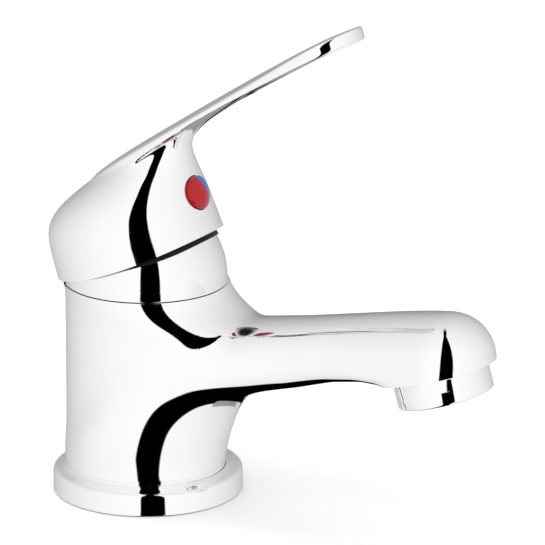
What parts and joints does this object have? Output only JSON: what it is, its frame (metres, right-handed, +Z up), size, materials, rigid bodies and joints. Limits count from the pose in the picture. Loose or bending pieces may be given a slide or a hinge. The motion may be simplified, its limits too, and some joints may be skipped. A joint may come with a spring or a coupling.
{
  "type": "single-lever basin mixer faucet",
  "caption": "Deck-mounted basin mixer with a lifting and turning lever, ceramic disc cartridge, fixed spout and aerator.",
  "frame": {"origin": "on the column's axis, at the underside that rests on the basin", "axes": "+Z up, the spout and the lever point along -Y, and X = 0 is the symmetry plane with hot water on -X"},
  "size_m": [0.057, 0.1424, 0.1492],
  "materials": {
    "chrome": "bright polished chrome plating",
    "brass": "turned brass",
    "steel": "stainless steel",
    "rubber": "black moulded rubber",
    "white_plastic": "white moulded acetal",
    "grey_plastic": "grey glass-filled nylon",
    "ceramic": "lapped alumina ceramic",
    "index_plug": "glossy plastic, red on the hot side and blue on the cold side"
  },
  "bodies": {
    "root": {"body": "chrome", "base_ring": "chrome", "base_gasket": "rubber", "dome_cover": "chrome", "dome_seat_ring": "white_plastic", "cartridge_nut": "brass", "cartridge_housing": "grey_plastic", "cartridge_base": "grey_plastic", "seal_hot": "rubber", "seal_cold": "rubber", "seal_outlet": "rubber", "lower_ceramic_disc": "ceramic", "aerator_housing": "chrome", "aerator_insert": "white_plastic", "aerator_screen": "steel", "aerator_washer": "rubber"},
    "turret": {"cartridge_turret": "white_plastic", "pivot_pin": "steel"},
    "lever": {"lever_handle": "chrome", "index_plug": "index_plug", "lever_set_screw": "steel", "cartridge_stem": "steel"},
    "disc": {"upper_ceramic_disc": "ceramic", "disc_carrier": "grey_plastic"}
  },
  "joints": [
    {"name": "temperature_turn", "type": "hinge", "parent": "root", "child": "turret", "pos_m": [0, 0, 0.0663], "axis": [0, 0, 1], "range_deg": [-50, 50]},
    {"name": "lever_lift", "type": "hinge", "parent": "turret", "child": "lever", "pos_m": [0, 0, 0.0663], "axis": [-1, 0, 0], "range_deg": [-25, 0]},
    {"name": "disc_slide", "type": "slide", "parent": "turret", "child": "disc", "axis": [0, -1, 0], "range_m": [-0.0063, 0.0003]}
  ],
  "couplings": [
    {"joint": "disc_slide", "follows": "lever_lift", "m_per_rad": 0.01383}
  ]
}
